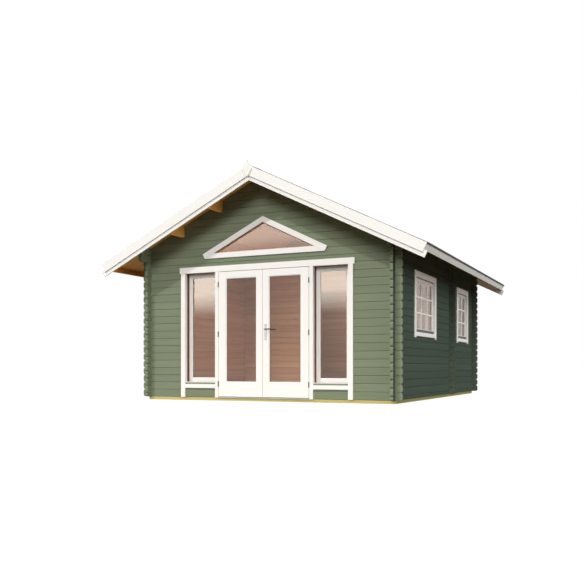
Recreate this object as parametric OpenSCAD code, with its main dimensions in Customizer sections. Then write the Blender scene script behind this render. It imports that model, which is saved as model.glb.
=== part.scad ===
// Garden log cabin: tongued and notched log walls on bearers, a purlin roof with a deep
// front overhang, and glazed double doors between two sidelights.
// The front faces -Y, the right-hand side +X, and the bearers rest on Z = 0.

/* [Logs] */
// Height of one log course
log_h = 114; // [100:1:130]
// Thickness of a log
log_t = 44; // [36:1:60]
// Chamfer along the long edges of a log
log_chamfer = 7; // [3:0.5:10]
// Width of the tongue along the top of a log
tongue_w = 14; // [10:1:16]
// Height of the tongue along the top of a log
tongue_h = 9; // [6:1:12]
// Log ends past the face of the crossing wall
log_end = 105; // [70:5:140]
// Rounding of the corners of a log end
log_end_round = 32; // [8:1:40]
// Joint between two courses
log_joint = 0.4; // [0.2:0.1:0.8]

/* [Walls] */
// Outer width of the log walls
wall_w = 4060; // [3800:10:4400]
// Outer depth of the log walls
wall_d = 5030; // [4800:10:5600]
// Roof underside at the outer faces of the side walls, above the bearers
eave_h = 2322; // [2290:1:2500]
// Front wall face to the front face of the partition
partition_y = 3120; // [2900:10:3200]
// Top courses of the side walls past the front wall face
corbel_front = 280; // [200:5:320]
// Top courses of the side walls past the back wall face
corbel_back = 190; // [150:5:200]
// Rounding under the corbel ends
corbel_round = 60; // [20:5:90]
// Width of the doorway in the partition
inner_door_w = 800; // [700:10:900]
// Thickness of the lining in that doorway
lining_t = 22; // [18:1:28]

/* [Base] */
// Height of the bearers
bearer_h = 45; // [35:1:60]
// Width of the bearers
bearer_w = 70; // [50:5:90]
// Bearers set in from the wall faces
bearer_inset = 4; // [0:1:10]
// Thickness of the floor boards
floor_t = 19; // [16:1:28]
// Room for the floor to swell along the walls
floor_gap = 4; // [2:1:10]
// Floor joists between the side bearers
joist_count = 4; // [3:1:6]

/* [Roof] */
// Pitch of the roof
pitch = 26.2; // [24:0.1:28]
// Thickness of the roof boards
roof_board_t = 19; // [16:1:25]
// Thickness of the roofing felt
felt_t = 4; // [3:0.5:6]
// Felt folded down over the eave fascia
felt_drip = 18; // [10:1:30]
// Length of a roof slope from the ridge to the eave
slope_len = 2894; // [2800:1:3000]
// Front wall face to the front of the barge boards
front_over = 472; // [420:1:520]
// Back wall face to the back of the barge boards
back_over = 300; // [290:1:340]
// Width of a purlin
purlin_w = 58; // [44:1:70]
// Height of a purlin on its uphill side
purlin_h = 172; // [150:1:180]
// Uphill face of the upper purlins from the centre
purlin_upper_x = 689; // [600:1:760]
// Uphill face of the lower purlins from the centre
purlin_lower_x = 1370; // [1300:1:1450]

/* [Barge and fascia boards] */
// Thickness of the barge and fascia boards
trim_t = 20; // [16:1:25]
// Width of the outer barge boards
barge_w = 134; // [110:1:150]
// Width of the inner barge boards
under_barge_w = 95; // [80:1:110]
// Inner barge boards below the lower edge of the outer ones
under_barge_drop = 57; // [40:1:65]
// Inner barge boards past the ends of the outer ones
under_barge_reach = 48; // [20:1:60]
// Width of the eave fascias
fascia_w = 102; // [90:1:130]
// Half width of the diamond at the gable peak
diamond_x = 68; // [50:1:80]
// Half height of the diamond at the gable peak
diamond_z = 116; // [90:1:130]
// Middle of the diamond below the peak of the roof boards
diamond_drop = 53; // [40:1:80]

/* [Front opening] */
// Front wall over its opening, up to the height of the eaves
front_head_room = 384; // [340:1:500]
// Width of the opening for a sidelight
sidelight_w = 550; // [490:2:610]
// Width of the pair of door leaves
doors_w = 1492; // [1400:2:1600]
// Width of a door post
post_w = 59; // [50:1:70]
// Depth of a post in front of the wall face
post_out = 18; // [12:1:20]
// Door stop behind the leaves
stop_w = 18; // [12:1:25]
// Thickness of the door stop
stop_t = 11; // [8:1:14]
// Log courses under the sidelights
sill_courses = 2; // [1:1:3]
// Thickness of the jambs round the sidelights
jamb_w = 14; // [12:1:24]
// Thickness of the board under a sidelight sash
jamb_sill = 10; // [8:1:20]
// Width of the sidelight stiles and rails
sash_w = 56; // [44:1:64]
// Sidelight sashes set back from the wall face
sash_back = 105; // [70:1:120]
// Jambs past the back of the sidelight sashes
jamb_past = 2; // [0:1:10]
// Thickness of the sashes
sash_t = 28; // [24:1:28]
// Thickness of the glass
glass_t = 4; // [3:0.5:6]
// Glass set into the sashes and leaves
glass_seat = 10; // [6:1:14]

/* [Door leaves] */
// Thickness of a leaf
leaf_t = 44; // [38:1:45]
// Top of the leaves below the top of the front opening
leaf_head = 34; // [30:1:50]
// Head of the door frame above the leaves
head_gap = 7; // [6:1:14]
// Height of the threshold strip
threshold_h = 14; // [10:1:20]
// Threshold in front of the leaves
threshold_out = 4; // [2:1:10]
// Running gap round a leaf
leaf_gap = 5; // [5:0.5:8]
// Stile on the hinge side
hinge_stile = 126; // [100:1:150]
// Stile on the meeting side
meeting_stile = 101; // [80:1:120]
// Top rail of a leaf
top_rail = 102; // [80:1:120]
// Bottom rail of a leaf
bottom_rail = 218; // [180:1:250]

/* [Hinges] */
// Radius of the hinge barrels
barrel_r = 7; // [5:0.5:8]
// Length of a hinge
hinge_len = 80; // [60:1:100]
// Hinge pin radius
hinge_pin_r = 3.5; // [2.5:0.1:4]
// Hinge pin above the lower half of the barrel
hinge_pin_h = 24; // [15:1:28]
// Reach of a hinge flag from the pin
hinge_flag_w = 15; // [12:1:30]
// Thickness of a hinge flag
hinge_flag_t = 3; // [2:0.5:4]
// Outer hinges from the ends of a leaf
hinge_inset = 190; // [150:5:250]

/* [Handle] */
// Height of the lever above the bearers
lever_z = 1021; // [950:1:1080]
// Spindle from the meeting edge of the leaf
backset = 50; // [40:1:60]
// Width of a handle plate
plate_w = 36; // [30:1:44]
// Height of a handle plate
plate_h = 240; // [180:1:260]
// Thickness of a handle plate
plate_t = 6; // [4:0.5:8]
// Rounding of the corners of a handle plate
plate_round = 8; // [3:1:14]
// Reach of a lever from its spindle
lever_len = 118; // [100:1:140]
// Radius of a lever
lever_r = 8; // [7:0.5:10]
// Radius of the bend of a lever
lever_bend = 16; // [12:1:24]
// Levers in front of the plates
lever_out = 44; // [35:1:55]
// Rounding at the tip of a lever
lever_round = 4; // [2:0.5:6]
// Radius of the spindle
spindle_r = 6; // [4:0.5:6.5]

/* [Casings] */
// Thickness of the casing boards
casing_t = 18; // [14:1:20]
// Width of the upright casing boards
casing_w = 75; // [60:1:90]
// Height of the boards over the openings
header_h = 90; // [70:1:110]
// Header past the upright boards
header_reach = 24; // [10:1:40]
// Casing over the edge of a wall opening
casing_lap = 5; // [3:1:10]
// Height of the boards under the windows
sill_h = 60; // [45:1:75]
// Sidelight sill boards below the top of the logs there
sidelight_sill_drop = 25; // [10:1:40]
// Upright boards below the side window sills
casing_tail = 24; // [10:1:40]

/* [Windows] */
// Heads of the side windows below the eaves
window_head_drop = 504; // [480:1:600]
// Height of the side window openings
window_h = 834; // [780:1:900]
// Side window frames set back from the wall face
window_back = 16; // [4:1:16]
// Width of the side window frames
window_frame_w = 50; // [40:1:60]
// Width of the front side window opening
window_1_w = 1108; // [1000:2:1200]
// Front wall face to the middle of the front side window
window_1_y = 1547; // [1480:1:1620]
// Width of the rear side window opening
window_2_w = 789; // [700:2:860]
// Front wall face to the middle of the rear side window
window_2_y = 4118; // [4060:1:4160]
// Lower edge of the gable window casing below the eaves
gable_base_drop = 204; // [190:1:230]
// Height of the gable window casing
gable_window_h = 578; // [540:1:610]
// Width of the gable window casing boards
gable_casing_w = 80; // [70:1:90]
// Width of the gable window frame
gable_frame_w = 16; // [15:1:30]
// Gable window frame set back from the wall face
gable_back = 14; // [8:1:16]

/* [Hidden] */

green = [0.45, 0.50, 0.41];
white = [0.95, 0.94, 0.91];
natural = [0.72, 0.50, 0.28];
treated = [0.80, 0.74, 0.48];
grey = [0.55, 0.55, 0.56];
felt_grey = [0.22, 0.23, 0.24];
clear = [0.55, 0.60, 0.62, 0.5];

// Clearance between pieces that seat on each other
fit = 0.5;
// Play of the spindle in its hole, and of a hinge pin at the end of its bore
spindle_play = 1;
pin_room = 4;
// Hinge barrels in front of the leaves
barrel_gap = 1;
// Overlap of cutting solids past the faces that they cut
past = 2;
// Straight steps in a rounded corner
arc_steps = 4;
// Share of a course that the top course of a side wall has at least
least_course = 0.4;
$fn = 32;

tan_p = tan(pitch);
cos_p = cos(pitch);
sin_p = sin(pitch);
hw = wall_w / 2;
ridge_h = eave_h + hw * tan_p;
board_top = ridge_h + roof_board_t / cos_p;
// Front wall face, with the whole cabin centred on Y = 0
wall_y = (front_over - back_over - wall_d) / 2;
// Ends of a log that crosses both side walls
full_x = [-hw - log_end, hw + log_end];

// Underside of the roof boards at a distance from the centre line
function roof_z(x) = ridge_h - abs(x) * tan_p;

// Lowest and highest edge of a course of the walls along X
function course(k) = [k * log_h, (k + 1) * log_h];

// Top course of the side walls, cut to the roof, and the height that it is cut from
side_top = floor(eave_h / log_h + 0.5 - least_course);
side_peak = roof_z(hw - log_t) + log_chamfer + log_joint;

// The same of the side walls, whose courses lie half a log lower and start with half a log
function side_course(k) = [max(0, (k - 0.5) * log_h), k == side_top ? side_peak : (k + 0.5) * log_h];

// Courses up to the last one that reaches well past the ridge purlin
gable_courses = floor((ridge_h - purlin_w * tan_p) / log_h) + 1;
// First course of the walls along X that stands between the side walls
first_gable = floor(eave_h / log_h);

// Everything below is placed from the middle of the front wall face at the bearers' top
module on_bearers() translate([0, wall_y, bearer_h]) children();

// A solid of an X-Z outline that runs along Y from y0 to y1
module along_y(y0, y1) translate([0, y1, 0]) rotate([90, 0, 0]) linear_extrude(y1 - y0) children();

// A solid of a Y-Z outline that runs along X from x0 to x1
module along_x(x0, x1) translate([x0, 0, 0]) rotate([90, 0, 90]) linear_extrude(x1 - x0) children();

// A wall built along X is turned to run along Y, with its face at x
module side_wall_at(x) translate([x, 0, 0]) rotate([0, 0, 90]) children();

module both_sides() {
    children();
    mirror([1, 0, 0]) children();
}

module box(x, y, z) translate([x[0], y[0], z[0]]) cube([x[1] - x[0], y[1] - y[0], z[1] - z[0]]);

module rect(x, z) translate([x[0], z[0]]) square([x[1] - x[0], z[1] - z[0]]);

// Points of a quarter circle about a centre, from an angle on
function quarter_arc(centre, r, from) = [for (i = [0:arc_steps])
    centre + r * [cos(from + 90 * i / arc_steps), sin(from + 90 * i / arc_steps)]];

// A rectangle with rounded corners, which rises by a tongue between the two at the top
function rounded_rect(x, z, r, rise = 0) = concat(
    quarter_arc([x[1] - r, z[1] - r], r, 0),
    rise > 0 ? [[x[1] - r, z[1] + rise], [x[0] + r, z[1] + rise]] : [],
    quarter_arc([x[0] + r, z[1] - r], r, 90),
    quarter_arc([x[0] + r, z[0] + r], r, 180),
    quarter_arc([x[1] - r, z[0] + r], r, 270));

// Section of a log: chamfered long edges, a groove below and a tongue on top
module log_section(z, grooved, tongued) {
    mid = log_t / 2;
    tongue = tongue_w / 2;
    groove = tongue + fit;
    groove_top = z[0] + tongue_h + fit;
    polygon(concat(
        [[0, z[0] + log_chamfer], [log_chamfer, z[0]]],
        grooved ? [[mid - groove, z[0]], [mid - groove, groove_top],
            [mid + groove, groove_top], [mid + groove, z[0]]] : [],
        [[log_t - log_chamfer, z[0]], [log_t, z[0] + log_chamfer],
            [log_t, z[1] - log_chamfer], [log_t - log_chamfer, z[1]]],
        tongued ? [[mid + tongue, z[1]], [mid + tongue, z[1] + tongue_h],
            [mid - tongue, z[1] + tongue_h], [mid - tongue, z[1]]] : [],
        [[log_chamfer, z[1]], [0, z[1] - log_chamfer]]));
}

// One log along X in the course z: its section, cut to the outline that the children leave
module log(x, z, tongued = true) {
    body = [z[0] + log_joint / 2, z[1] - log_joint / 2];
    end_round = min(log_end_round, (z[1] - z[0]) / 2 - past);
    intersection() {
        along_x(x[0] - past, x[1] + past) log_section(body, z[0] > 0, tongued);
        along_y(-past, log_t + past) difference() {
            polygon(rounded_rect(x, body, end_round, tongued ? tongue_h : 0));
            children();
        }
    }
}

// Notches over and under a log, a quarter of a course deep, where walls cross it at xs
module notches(xs, z, under = true) for (x = xs) {
    across = [x - fit, x + log_t + fit];
    depth = log_h / 4 + log_joint / 2;
    if (under)
        rect(across, [z[0] - past, z[0] + depth]);
    if (z[1] < side_peak)
        rect(across, [z[1] - depth, z[1] + tongue_h + past]);
}

// What lies above the roof boards' underside, over a wall along X
module above_roof() {
    far = hw + log_end + past;
    top = ridge_h + 2 * log_h;
    low = roof_z(far) - fit;
    polygon([[-far, low], [0, ridge_h - fit], [far, low], [far, top], [-far, top]]);
}

// Section of a purlin on the right-hand slope, a little larger where play is given
module purlin_section(x, play = 0) {
    uphill = x - play;
    downhill = x + purlin_w + play;
    base = roof_z(x) - purlin_h - play;
    top = fit - play;
    polygon([[uphill, base], [downhill, base],
        [downhill, roof_z(downhill) - top], [uphill, roof_z(uphill) - top]]);
}

module ridge_purlin_section(play = 0) {
    half = purlin_w / 2 + play;
    base = ridge_h - purlin_h - play;
    top = fit - play;
    polygon([[-half, base], [half, base], [half, roof_z(half) - top], [0, ridge_h - top],
        [-half, roof_z(half) - top]]);
}

module purlin_sections(play = 0) {
    ridge_purlin_section(play);
    both_sides() {
        purlin_section(purlin_upper_x, play);
        purlin_section(purlin_lower_x, play);
    }
}

// A log of a wall along X, cut for the roof, the purlins and the side walls
module gable_log(k) log(full_x, course(k)) {
    above_roof();
    purlin_sections(fit);
    if (k < first_gable)
        notches([-hw, hw - log_t], course(k));
    else
        both_sides() rect([hw - log_t - fit, hw + log_end + past], [0, 2 * ridge_h]);
    children();
}

// Rounds the undersides of a corbel's two ends
module corbel_cut(y, z) for (end = [0, 1])
    translate([y[end], z]) mirror([end, 0]) difference() {
        rect([-past, corbel_round], [-past, corbel_round]);
        translate([corbel_round, corbel_round]) circle(corbel_round);
    }

// Logs of the side walls run the whole depth, and the two top courses corbel out
module side_wall() for (k = [0:side_top]) {
    corbel = k >= side_top - 1;
    y = [corbel ? -corbel_front : -log_end, wall_d + (corbel ? corbel_back : log_end)];
    z = side_course(k);
    log(y, z, k < side_top) {
        notches([0, partition_y, wall_d - log_t], z, k > 0);
        if (k == side_top - 1)
            corbel_cut(y, z[0]);
        children();
    }
}

// Room under the roof boards over the side walls
module under_roof() along_y(-front_over, wall_d + back_over) {
    far = hw + past;
    low = roof_z(far) - fit;
    polygon([[-far, -past], [far, -past], [far, low], [0, ridge_h - fit], [-far, low]]);
}

module left_wall() color(green) on_bearers() intersection() {
    side_wall_at(-hw + log_t) side_wall();
    under_roof();
}

// Openings of the two windows in the right-hand wall: middle and width
windows = [[window_1_y, window_1_w], [window_2_y, window_2_w]];
window_head_z = eave_h - window_head_drop;
window_sill_z = window_head_z - window_h;

module window_holes() for (w = windows)
    rect([w[0] - w[1] / 2, w[0] + w[1] / 2], [window_sill_z, window_head_z]);

module right_wall() color(green) on_bearers() intersection() {
    side_wall_at(hw) side_wall() window_holes();
    under_roof();
}

// Heights and widths of the opening in the front wall, from the middle of the doors outwards
open_courses = round((eave_h - front_head_room) / log_h);
open_top = open_courses * log_h;
sill_top = sill_courses * log_h;
leaf_top = open_top - leaf_head;
header_z = leaf_top + head_gap;
post_x = doors_w / 2 + leaf_gap + post_w;
front_half = post_x + sidelight_w;

// What lies right of the left-hand front wall: the doors, and the sidelight over its sill logs
module front_opening() {
    far = hw + log_end + past;
    rect([-post_x - fit, far], [-past, ridge_h]);
    rect([-front_half, far], [sill_top - log_joint, ridge_h]);
}

module front_wall_left() color(green) on_bearers() for (k = [0:open_courses - 1])
    gable_log(k) front_opening();

module front_wall_right() mirror([1, 0, 0]) front_wall_left();

// Gable window: its casing, and the opening that the casing laps
gable_base_z = eave_h - gable_base_drop;
gable_peak_z = gable_base_z + gable_window_h;
gable_lap = gable_casing_w - casing_lap;
gable_open_base = gable_base_z + gable_lap;
gable_open_peak = gable_peak_z - gable_lap / cos_p;

// A triangle with the pitch of the roof
module gable_triangle(base, peak) {
    half = (peak - base) / tan_p;
    polygon([[-half, base], [half, base], [0, peak]]);
}

module front_wall_over() color(green) on_bearers() for (k = [open_courses:gable_courses - 1])
    gable_log(k) gable_triangle(gable_open_base, gable_open_peak);

module back_wall() color(green) on_bearers() translate([0, wall_d - log_t, 0])
    for (k = [0:gable_courses - 1]) gable_log(k);

// Partition, in two parts beside its doorway and one over it
inner_half = inner_door_w / 2;
inner_door_h = leaf_top;
inner_courses = floor(inner_door_h / log_h);

module partition_part(courses, x) color(natural) on_bearers() translate([0, partition_y, 0])
    for (k = [courses[0]:courses[1]]) gable_log(k) rect(x, [-past, inner_door_h]);

module partition_left() partition_part([0, inner_courses - 1], [-inner_half, hw + log_end + past]);
module partition_right() partition_part([0, inner_courses - 1], [-hw - log_end - past, inner_half]);
module partition_over() partition_part([inner_courses, gable_courses - 1], [-inner_half, inner_half]);

module inner_door_lining() color(natural) on_bearers() translate([0, partition_y, 0]) {
    head = inner_door_h - lining_t;
    both_sides()
        box([inner_half - lining_t, inner_half - fit], [0, log_t], [floor_t + fit, head - fit]);
    box([-inner_half + fit, inner_half - fit], [0, log_t], [head, inner_door_h - fit]);
}

// Treated bearers under every wall, with joists between them
module bearers() color(treated) translate([0, wall_y, 0]) {
    outer = hw - bearer_inset;
    inner = outer - bearer_w;
    z = [0, bearer_h - fit];
    front = bearer_inset;
    middle = partition_y + (log_t - bearer_w) / 2;
    back = wall_d - bearer_inset - bearer_w;
    for (y = [front, middle, back])
        box([-outer, outer], [y, y + bearer_w], z);
    for (span = [[front, middle], [middle, back]]) {
        y = [span[0] + bearer_w + fit, span[1] - fit];
        both_sides() box([inner, outer], y, z);
        for (i = [1:joist_count]) {
            x = -inner + 2 * inner * i / (joist_count + 1);
            box([x - log_t / 2, x + log_t / 2], y, z);
        }
    }
}

// Floor of both rooms, joined through the inner doorway
module floor() color(natural) on_bearers() linear_extrude(floor_t) {
    x = hw - log_t - floor_gap;
    front_room = [log_t + floor_gap, partition_y - floor_gap];
    rear_room = [partition_y + log_t + floor_gap, wall_d - log_t - floor_gap];
    rect([-x, x], front_room);
    rect([-x, x], rear_room);
    rect([-inner_half + floor_gap, inner_half - floor_gap], [front_room[1] - past, rear_room[0] + past]);
}

// Roof boards and felt run from gable to gable, and the purlins between the inner barge boards
roof_ends = [-front_over, wall_d + back_over];
board_ends = roof_ends + [trim_t + fit, -trim_t - fit];
purlin_ends = board_ends + [trim_t + fit, -trim_t - fit];
// Start of a sloping strip before the ridge, so that its end is cut plumb there
ridge_start = -slope_len / 4;
// Inner face of the eave fascias along the slope
eave = slope_len - trim_t;

module purlins() color(natural) on_bearers() along_y(purlin_ends[0], purlin_ends[1]) purlin_sections();

// A strip of the right-hand slope from s[0] to s[1] along it, and d[0] to d[1] below a peak at z
module slope_strip(s, d, z = board_top) intersection() {
    translate([0, z]) rotate(-pitch) translate([s[0], -d[1]]) square([s[1] - s[0], d[1] - d[0]]);
    rect([fit / 2, 2 * slope_len], [0, 2 * ridge_h]);
}

module roof_boards() color(natural) on_bearers() along_y(board_ends[0], board_ends[1])
    slope_strip([ridge_start, eave - fit], [0, roof_board_t]);

module roof_boards_right() roof_boards();
module roof_boards_left() mirror([1, 0, 0]) roof_boards();

// Felt over the boards, between the outer barge boards, folded down in front of the eave fascia
module roof_felt() color(felt_grey) on_bearers() along_y(board_ends[0], board_ends[1]) {
    drip = slope_len + fit;
    slope_strip([ridge_start, drip + felt_t], [-fit - felt_t, -fit]);
    slope_strip([drip, drip + felt_t], [-fit - felt_t, felt_drip]);
}

module roof_felt_right() roof_felt();
module roof_felt_left() mirror([1, 0, 0]) roof_felt();

// Inner barge boards below the top of the roof boards
inner_barge = [barge_w + under_barge_drop - under_barge_w, barge_w + under_barge_drop];

// Fascia along an eave, notched at both ends over the inner barge boards
module eave_fascia() color(white) on_bearers() {
    along_y(purlin_ends[0], purlin_ends[1]) slope_strip([eave, slope_len], [0, fascia_w]);
    along_y(board_ends[0], board_ends[1])
        slope_strip([eave, slope_len], [0, min(fascia_w, inner_barge[0] - fit)]);
}

module eave_fascia_right() eave_fascia();
module eave_fascia_left() mirror([1, 0, 0]) eave_fascia();

// Outer barge boards of one gable from y inwards, and the inner boards behind them
module barge_boards(y, inner_y) color(white) on_bearers() both_sides() {
    along_y(y, y + trim_t) slope_strip([ridge_start, slope_len], [0, barge_w]);
    along_y(inner_y, inner_y + trim_t)
        slope_strip([ridge_start, slope_len + under_barge_reach], inner_barge);
}

module front_barge_boards() barge_boards(roof_ends[0], board_ends[0]);
module back_barge_boards() barge_boards(roof_ends[1] - trim_t, board_ends[1] - trim_t);

// Diamonds that cover the joints of the barge boards at the peaks
module gable_diamonds() color(white) on_bearers()
    for (y = [roof_ends[0] - fit - trim_t, roof_ends[1] + fit])
        along_y(y, y + trim_t) translate([0, board_top - diamond_drop])
            polygon([[-diamond_x, 0], [0, -diamond_z], [diamond_x, 0], [0, diamond_z]]);

// Rebated posts on both sides of the doors
module door_posts() color(white) on_bearers() both_sides() linear_extrude(header_z - fit) {
    inner = post_x - post_w;
    stop_y = log_t - stop_t;
    polygon([[inner, -post_out], [post_x, -post_out], [post_x, log_t], [inner - stop_w, log_t],
        [inner - stop_w, stop_y], [inner, stop_y]]);
}

// Head over the whole front opening, with the stop for the leaves
module door_head() color(white) on_bearers() {
    inner = post_x - post_w - stop_w - fit;
    box([-front_half + fit, front_half - fit], [0, log_t], [header_z, open_top - fit]);
    box([-inner, inner], [log_t - stop_t, log_t], [header_z - stop_w, header_z + past]);
}

// Threshold strip with a sloping nose
module door_threshold() color(grey) on_bearers() {
    inner = post_x - post_w - fit;
    nose = -post_out - threshold_out;
    back = log_t - stop_t - fit;
    along_x(-inner, inner)
        polygon([[nose, 0], [back, 0], [back, threshold_h],
            [nose + threshold_h, threshold_h], [nose, threshold_h / 2]]);
}

// A range made smaller at both ends
function within(range, by) = range + [by, -by];

// Clear openings beside the door posts, and the sashes deep inside them
clear_x = [post_x + fit, front_half - fit - jamb_w];
clear_z = [sill_top + jamb_sill, header_z - fit];
sash_x = within(clear_x, fit);
sash_z = within(clear_z, fit);
jamb_back = sash_back + sash_t + jamb_past;

// Jambs: a lining on the logs, and a box behind the wall that carries the sash
module sidelight_jambs() color(natural) on_bearers() both_sides() {
    along_y(0, log_t + past) difference() {
        rect([clear_x[0], front_half - fit], [sill_top, clear_z[1]]);
        rect([0, clear_x[1]], [clear_z[0], ridge_h]);
    }
    along_y(log_t + fit, jamb_back) difference() {
        rect(within(clear_x, -jamb_w), [sill_top, clear_z[1] + jamb_w]);
        rect(clear_x, clear_z);
    }
}

// Front and back of the glass in the middle of a frame of thickness t from y on
function glass_y(y, t) = [y + (t - glass_t) / 2, y + (t + glass_t) / 2];

// A frame round the opening in x and z, with a groove round its inside for the glass
module glazed_frame(x, z, open_x, open_z, y, t) {
    groove = glass_y(y, t) + [-fit, fit];
    seat = glass_seat + fit;
    difference() {
        along_y(y, y + t) difference() {
            rect(x, z);
            rect(open_x, open_z);
        }
        along_y(groove[0], groove[1]) rect(within(open_x, -seat), within(open_z, -seat));
    }
}

// The glass of such a frame
module pane(open_x, open_z, y, t) along_y(glass_y(y, t)[0], glass_y(y, t)[1])
    rect(within(open_x, -glass_seat), within(open_z, -glass_seat));

module sidelight_sashes() color(white) on_bearers() both_sides()
    glazed_frame(sash_x, sash_z, within(sash_x, sash_w), within(sash_z, sash_w), sash_back, sash_t);

module sidelight_glass() color(clear) on_bearers() both_sides()
    pane(within(sash_x, sash_w), within(sash_z, sash_w), sash_back, sash_t);

// Casing boards round the doors and sidelights
module front_casing() color(white) on_bearers() along_y(-casing_t - fit, -fit) {
    inner = clear_x[1];
    outer = inner + casing_w;
    reach = outer + header_reach;
    sill = sill_top - sidelight_sill_drop;
    rect([-reach, reach], [header_z, header_z + header_h]);
    both_sides() {
        rect([inner, outer], [0, header_z - fit]);
        rect([post_x + fit, inner - fit], [sill - sill_h, sill]);
    }
}

// Triangular window in the front gable
gable_frame_base = gable_open_base + fit;
gable_frame_peak = gable_open_peak - fit / cos_p;

// The frame's triangle, made smaller all round
module gable_frame_triangle(by) gable_triangle(gable_frame_base + by, gable_frame_peak - by / cos_p);

module gable_window_frame() color(natural) on_bearers() difference() {
    groove = glass_y(gable_back, sash_t) + [-fit, fit];
    along_y(gable_back, gable_back + sash_t) difference() {
        gable_frame_triangle(0);
        gable_frame_triangle(gable_frame_w);
    }
    along_y(groove[0], groove[1]) gable_frame_triangle(gable_frame_w - glass_seat - fit);
}

module gable_window_glass() color(clear) on_bearers()
    along_y(glass_y(gable_back, sash_t)[0], glass_y(gable_back, sash_t)[1])
        gable_frame_triangle(gable_frame_w - glass_seat);

// Sloping casing boards with square ends, over a level board between them
module gable_window_casing() color(white) on_bearers() along_y(-casing_t - fit, -fit) {
    length = gable_window_h / sin_p - gable_casing_w / tan_p;
    base_half = (gable_window_h - gable_casing_w / cos_p) / tan_p;
    both_sides() slope_strip([ridge_start, length], [0, gable_casing_w], gable_peak_z);
    difference() {
        rect([-base_half, base_half], [gable_base_z, gable_base_z + gable_casing_w]);
        both_sides() translate([0, gable_peak_z]) rotate(-pitch)
            translate([ridge_start, -gable_casing_w - fit]) square(slope_len);
    }
}

// The two windows of the right-hand wall, drawn along X and turned on to it
module window_places() on_bearers() side_wall_at(hw) children();

function window_x(w) = within([w[0] - w[1] / 2, w[0] + w[1] / 2], fit);
window_z = within([window_sill_z, window_head_z], fit);

module side_window_frames() color(white) window_places() for (w = windows)
    glazed_frame(window_x(w), window_z, within(window_x(w), window_frame_w),
        within(window_z, window_frame_w), window_back, sash_t);

module side_window_glass() color(clear) window_places() for (w = windows)
    pane(within(window_x(w), window_frame_w), within(window_z, window_frame_w), window_back, sash_t);

module side_window_casing() color(white) window_places() along_y(-casing_t - fit, -fit)
    for (w = windows) {
        x = within([w[0] - w[1] / 2, w[0] + w[1] / 2], casing_lap);
        sill = window_sill_z + casing_lap;
        head = window_head_z - casing_lap;
        rect(within(x, -casing_w), [head, head + header_h]);
        for (edge = [x[0] - casing_w, x[1]])
            rect([edge, edge + casing_w], [sill - sill_h - casing_tail, head - fit]);
        rect(within(x, fit), [sill - sill_h, sill]);
    }

// Door leaves, drawn on the right-hand side and mirrored for the left
leaf_x = [leaf_gap / 2, doors_w / 2];
leaf_z = [threshold_h + leaf_gap, leaf_top];
leaf_y = -post_out;
leaf_open_x = leaf_x + [meeting_stile, -hinge_stile];
leaf_open_z = leaf_z + [bottom_rail, -top_rail];
axis_x = doors_w / 2 + leaf_gap / 2;
axis_y = leaf_y - barrel_r - barrel_gap;
hinge_heights = [leaf_z[0] + hinge_inset, (leaf_z[0] + leaf_z[1]) / 2, leaf_z[1] - hinge_inset];
spindle_x = leaf_x[0] + backset;

module leaf() glazed_frame(leaf_x, leaf_z, leaf_open_x, leaf_open_z, leaf_y, leaf_t);

module leaf_glass() color(clear) on_bearers() pane(leaf_open_x, leaf_open_z, leaf_y, leaf_t);

// Upper halves of the lift-off hinges, with bores for the pins
module leaf_hinges() color(grey) on_bearers() for (z = hinge_heights) {
    half = [z + fit / 2, z + hinge_len / 2];
    difference() {
        union() {
            translate([axis_x, axis_y, half[0]]) cylinder(r = barrel_r, h = half[1] - half[0]);
            box([axis_x - hinge_flag_w, axis_x], [leaf_y - fit - hinge_flag_t, leaf_y - fit], half);
        }
        translate([axis_x, axis_y, z - past])
            cylinder(r = hinge_pin_r + fit, h = hinge_pin_h + pin_room + past);
    }
}

// Lower halves with their pins, on the posts
module post_hinges() color(grey) on_bearers() both_sides() for (z = hinge_heights) {
    half = [z - hinge_len / 2, z - fit / 2];
    translate([axis_x, axis_y, half[0]]) cylinder(r = barrel_r, h = half[1] - half[0]);
    translate([axis_x, axis_y, half[0]]) cylinder(r = hinge_pin_r, h = hinge_len / 2 + hinge_pin_h);
    box([axis_x, axis_x + hinge_flag_w], [-post_out - fit - hinge_flag_t, -post_out - fit], half);
}

// Outer faces of the handle plates on both sides of the leaf
plate_faces = [leaf_y - fit - plate_t, leaf_y + leaf_t + fit + plate_t];

// A round bar along Y at the spindle
module spindle_bar(y, r) translate([spindle_x, y[0], lever_z]) rotate([-90, 0, 0])
    cylinder(r = r, h = y[1] - y[0]);

module spindle_hole() spindle_bar(within(plate_faces, -past), spindle_r + spindle_play);

module door_right() color(white) on_bearers() difference() {
    leaf();
    spindle_hole();
}
module door_left() color(white) on_bearers() mirror([1, 0, 0]) leaf();
module door_right_glass() leaf_glass();
module door_left_glass() mirror([1, 0, 0]) leaf_glass();
module door_right_hinges() leaf_hinges();
module door_left_hinges() mirror([1, 0, 0]) leaf_hinges();

// Long plates on both faces of the right-hand leaf, with the lever in their upper third
module handle_plates() color(grey) on_bearers() difference() {
    x = [spindle_x - plate_w / 2, spindle_x + plate_w / 2];
    z = [lever_z - plate_h * 2 / 3, lever_z + plate_h / 3];
    for (y = [plate_faces[0], plate_faces[1] - plate_t])
        along_y(y, y + plate_t) polygon(rounded_rect(x, z, plate_round));
    spindle_hole();
}

// A lever in front of the plate at y = 0: neck, bend, grip and rounded tip
module lever() {
    bend_y = lever_bend - lever_out;
    translate([0, bend_y, 0]) rotate([-90, 0, 0]) cylinder(r = lever_r, h = -bend_y - fit);
    translate([lever_bend, bend_y, 0]) rotate(180) rotate_extrude(angle = 90)
        translate([lever_bend, 0]) circle(lever_r);
    grip = lever_len - lever_bend;
    translate([lever_bend, -lever_out, 0]) rotate([0, 90, 0]) rotate_extrude()
        polygon(concat([[0, 0], [lever_r, 0]],
            quarter_arc([lever_r - lever_round, grip - lever_round], lever_round, 0), [[0, grip]]));
}

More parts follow.
